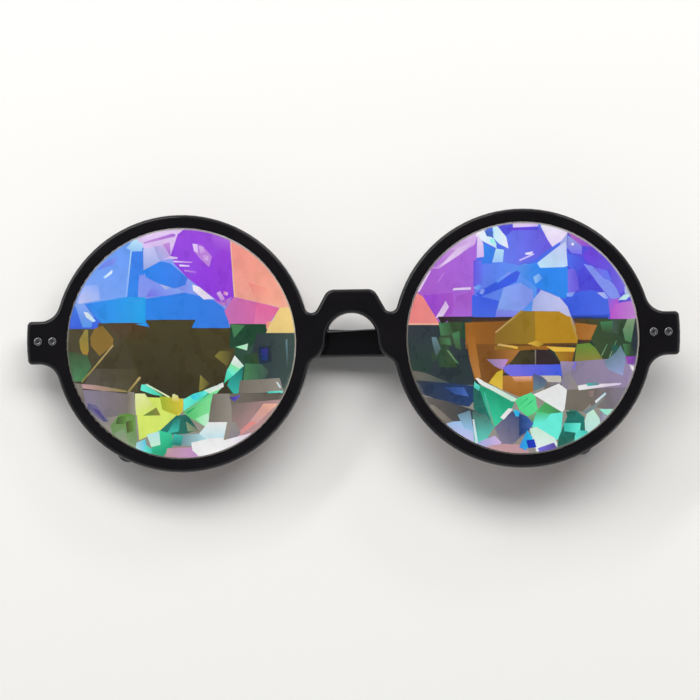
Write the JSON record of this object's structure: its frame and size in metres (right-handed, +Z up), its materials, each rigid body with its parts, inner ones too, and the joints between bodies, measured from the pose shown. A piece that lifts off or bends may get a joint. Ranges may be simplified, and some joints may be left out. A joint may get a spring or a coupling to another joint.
{
  "type": "diffraction glasses",
  "caption": "Round glasses with thick faceted rainbow-coated lenses in a glossy black front, lying on their folded temples.",
  "frame": {"origin": "on the table under the bridge, on the flat outer face of the folded temple that lies on the table", "axes": "+X to the viewer's right along the front, +Y to the top of the glasses, +Z up off the table through the lenses"},
  "size_m": [0.1479, 0.0584, 0.0225],
  "materials": {
    "black_acetate": "polished black",
    "coated_lens": "faceted, dichroic coated",
    "nickel_silver": "satin",
    "steel_screw": "turned",
    "silver_rivet": "bright",
    "core_wire": "drawn"
  },
  "bodies": {
    "front": {"front_frame": "black_acetate", "front_rivet_left_inner": "silver_rivet", "front_rivet_left_outer": "silver_rivet", "front_rivet_right_inner": "silver_rivet", "front_rivet_right_outer": "silver_rivet", "hinge_front_leaf_left": "nickel_silver", "hinge_front_leaf_right": "nickel_silver", "hinge_screw_left": "steel_screw", "hinge_screw_right": "steel_screw", "lens_left": "coated_lens", "lens_right": "coated_lens", "nose_pad_left": "black_acetate", "nose_pad_right": "black_acetate"},
    "temple_left": {"hinge_temple_leaf_left": "nickel_silver", "temple_core_left": "core_wire", "temple_left": "black_acetate", "temple_rivet_left_front": "silver_rivet", "temple_rivet_left_rear": "silver_rivet"},
    "temple_right": {"hinge_temple_leaf_right": "nickel_silver", "temple_core_right": "core_wire", "temple_right": "black_acetate", "temple_rivet_right_front": "silver_rivet", "temple_rivet_right_rear": "silver_rivet"}
  },
  "joints": [
    {"name": "temple_left_fold", "type": "hinge", "parent": "front", "child": "temple_left", "pos_m": [-0.06609, 0, 0.0058], "axis": [0, 1, 0], "range_deg": [0, 85.74]},
    {"name": "temple_right_fold", "type": "hinge", "parent": "front", "child": "temple_right", "pos_m": [0.06687, 0, 0.01372], "axis": [0, -1, 0], "range_deg": [0, 90]}
  ]
}
